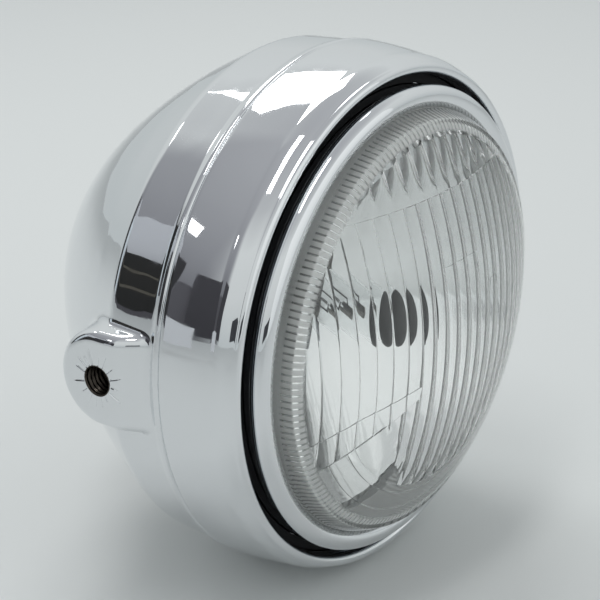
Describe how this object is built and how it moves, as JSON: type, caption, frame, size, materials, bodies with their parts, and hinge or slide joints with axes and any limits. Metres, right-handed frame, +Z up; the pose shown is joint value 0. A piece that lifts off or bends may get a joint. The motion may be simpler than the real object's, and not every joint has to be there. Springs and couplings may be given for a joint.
{
  "type": "motorcycle headlight",
  "caption": "Round chromed motorcycle headlight: domed bucket with a tapped boss on each side, trim ring, and a domed insert with a fluted glass lens, reflector and bulb.",
  "frame": {"origin": "middle of the side-mounting axis, halfway between the two boss faces and between the lens's front and the back of the bucket", "axes": "-Y is the way the lamp shines, +Z is up, +X runs along the mounting axis"},
  "size_m": [0.1752, 0.143, 0.1678],
  "materials": {
    "bright_chrome": "polished chrome plate",
    "lens_glass": "pressed clear glass",
    "mirror_coat": "vapour-coated aluminium",
    "black_rubber": "matt moulded rubber",
    "grey_sealant": "cured sealant",
    "zinc_plated_steel": "bright zinc plate",
    "spring_steel": "plain spring steel",
    "bulb_steel": "nickel-plated sheet",
    "bulb_glass": "clear tube glass",
    "tungsten": "drawn wire",
    "tinned_brass": "tinned contact blades"
  },
  "bodies": {
    "root": {"bucket": "bright_chrome", "trim_ring": "bright_chrome", "ring_screw": "bright_chrome", "ring_nut_plate": "zinc_plated_steel", "rim_seal": "black_rubber", "insert_rim": "bright_chrome", "lens": "lens_glass", "lens_sealant": "grey_sealant", "reflector": "mirror_coat", "insert_clips": "spring_steel", "bulb_holder": "zinc_plated_steel", "bulb_clip": "spring_steel", "clip_screws": "zinc_plated_steel", "bulb_flange": "bulb_steel", "bulb_cap": "bulb_steel", "bulb_capsule": "bulb_glass", "bulb_filaments": "tungsten", "bulb_lead_wires": "tungsten", "bulb_shield": "bulb_steel", "bulb_terminals": "tinned_brass", "bulb_boot": "black_rubber", "cable_grommet": "black_rubber"}
  },
  "joints": []
}
